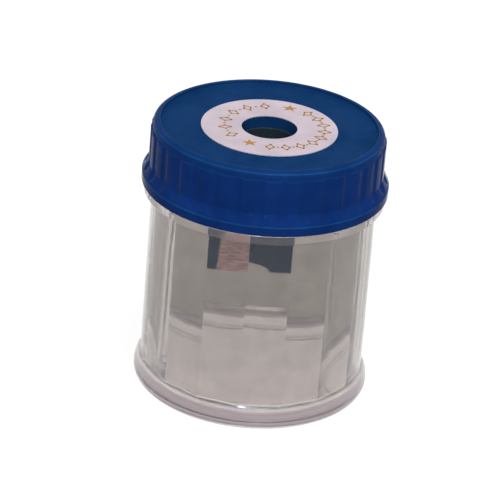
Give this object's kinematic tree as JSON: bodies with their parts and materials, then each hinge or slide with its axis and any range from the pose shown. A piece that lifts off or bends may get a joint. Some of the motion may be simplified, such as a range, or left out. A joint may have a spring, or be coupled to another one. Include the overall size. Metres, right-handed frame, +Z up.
{
  "type": "canister pencil sharpener",
  "caption": "Clear round tub with a foot and inner facets, and a blue cap with a fluted grip band, a pencil hole, ring label and a wedge hand sharpener hanging inside.",
  "frame": {"origin": "centre of the tub's foot, on the surface it stands on", "axes": "+Z up along the pencil's axis; -Y the side to which the sharpener's blade faces, square to one of the tub's inner facets; +X to the right seen from that side"},
  "size_m": [0.046, 0.046, 0.0535],
  "materials": {
    "clear_tub": "clear polystyrene, slightly smoky, glossy",
    "blue_cap": "moulded navy blue, glossy walls and fine matt grain on the disc",
    "white_label": "pinkish white film label with gold print",
    "dark_block": "dark slate grey moulding",
    "blade_steel": "ground steel, slightly stained",
    "screw_steel": "plated steel"
  },
  "bodies": {
    "tub": {"tub": "clear_tub"},
    "lid": {"lid": "blue_cap", "label": "white_label", "sharpener_body": "dark_block", "blade": "blade_steel", "blade_screw": "screw_steel"}
  },
  "joints": [
    {"name": "lid_lift", "type": "slide", "parent": "tub", "child": "lid", "axis": [0, 0, 1], "range_m": [0, 0.032]}
  ]
}
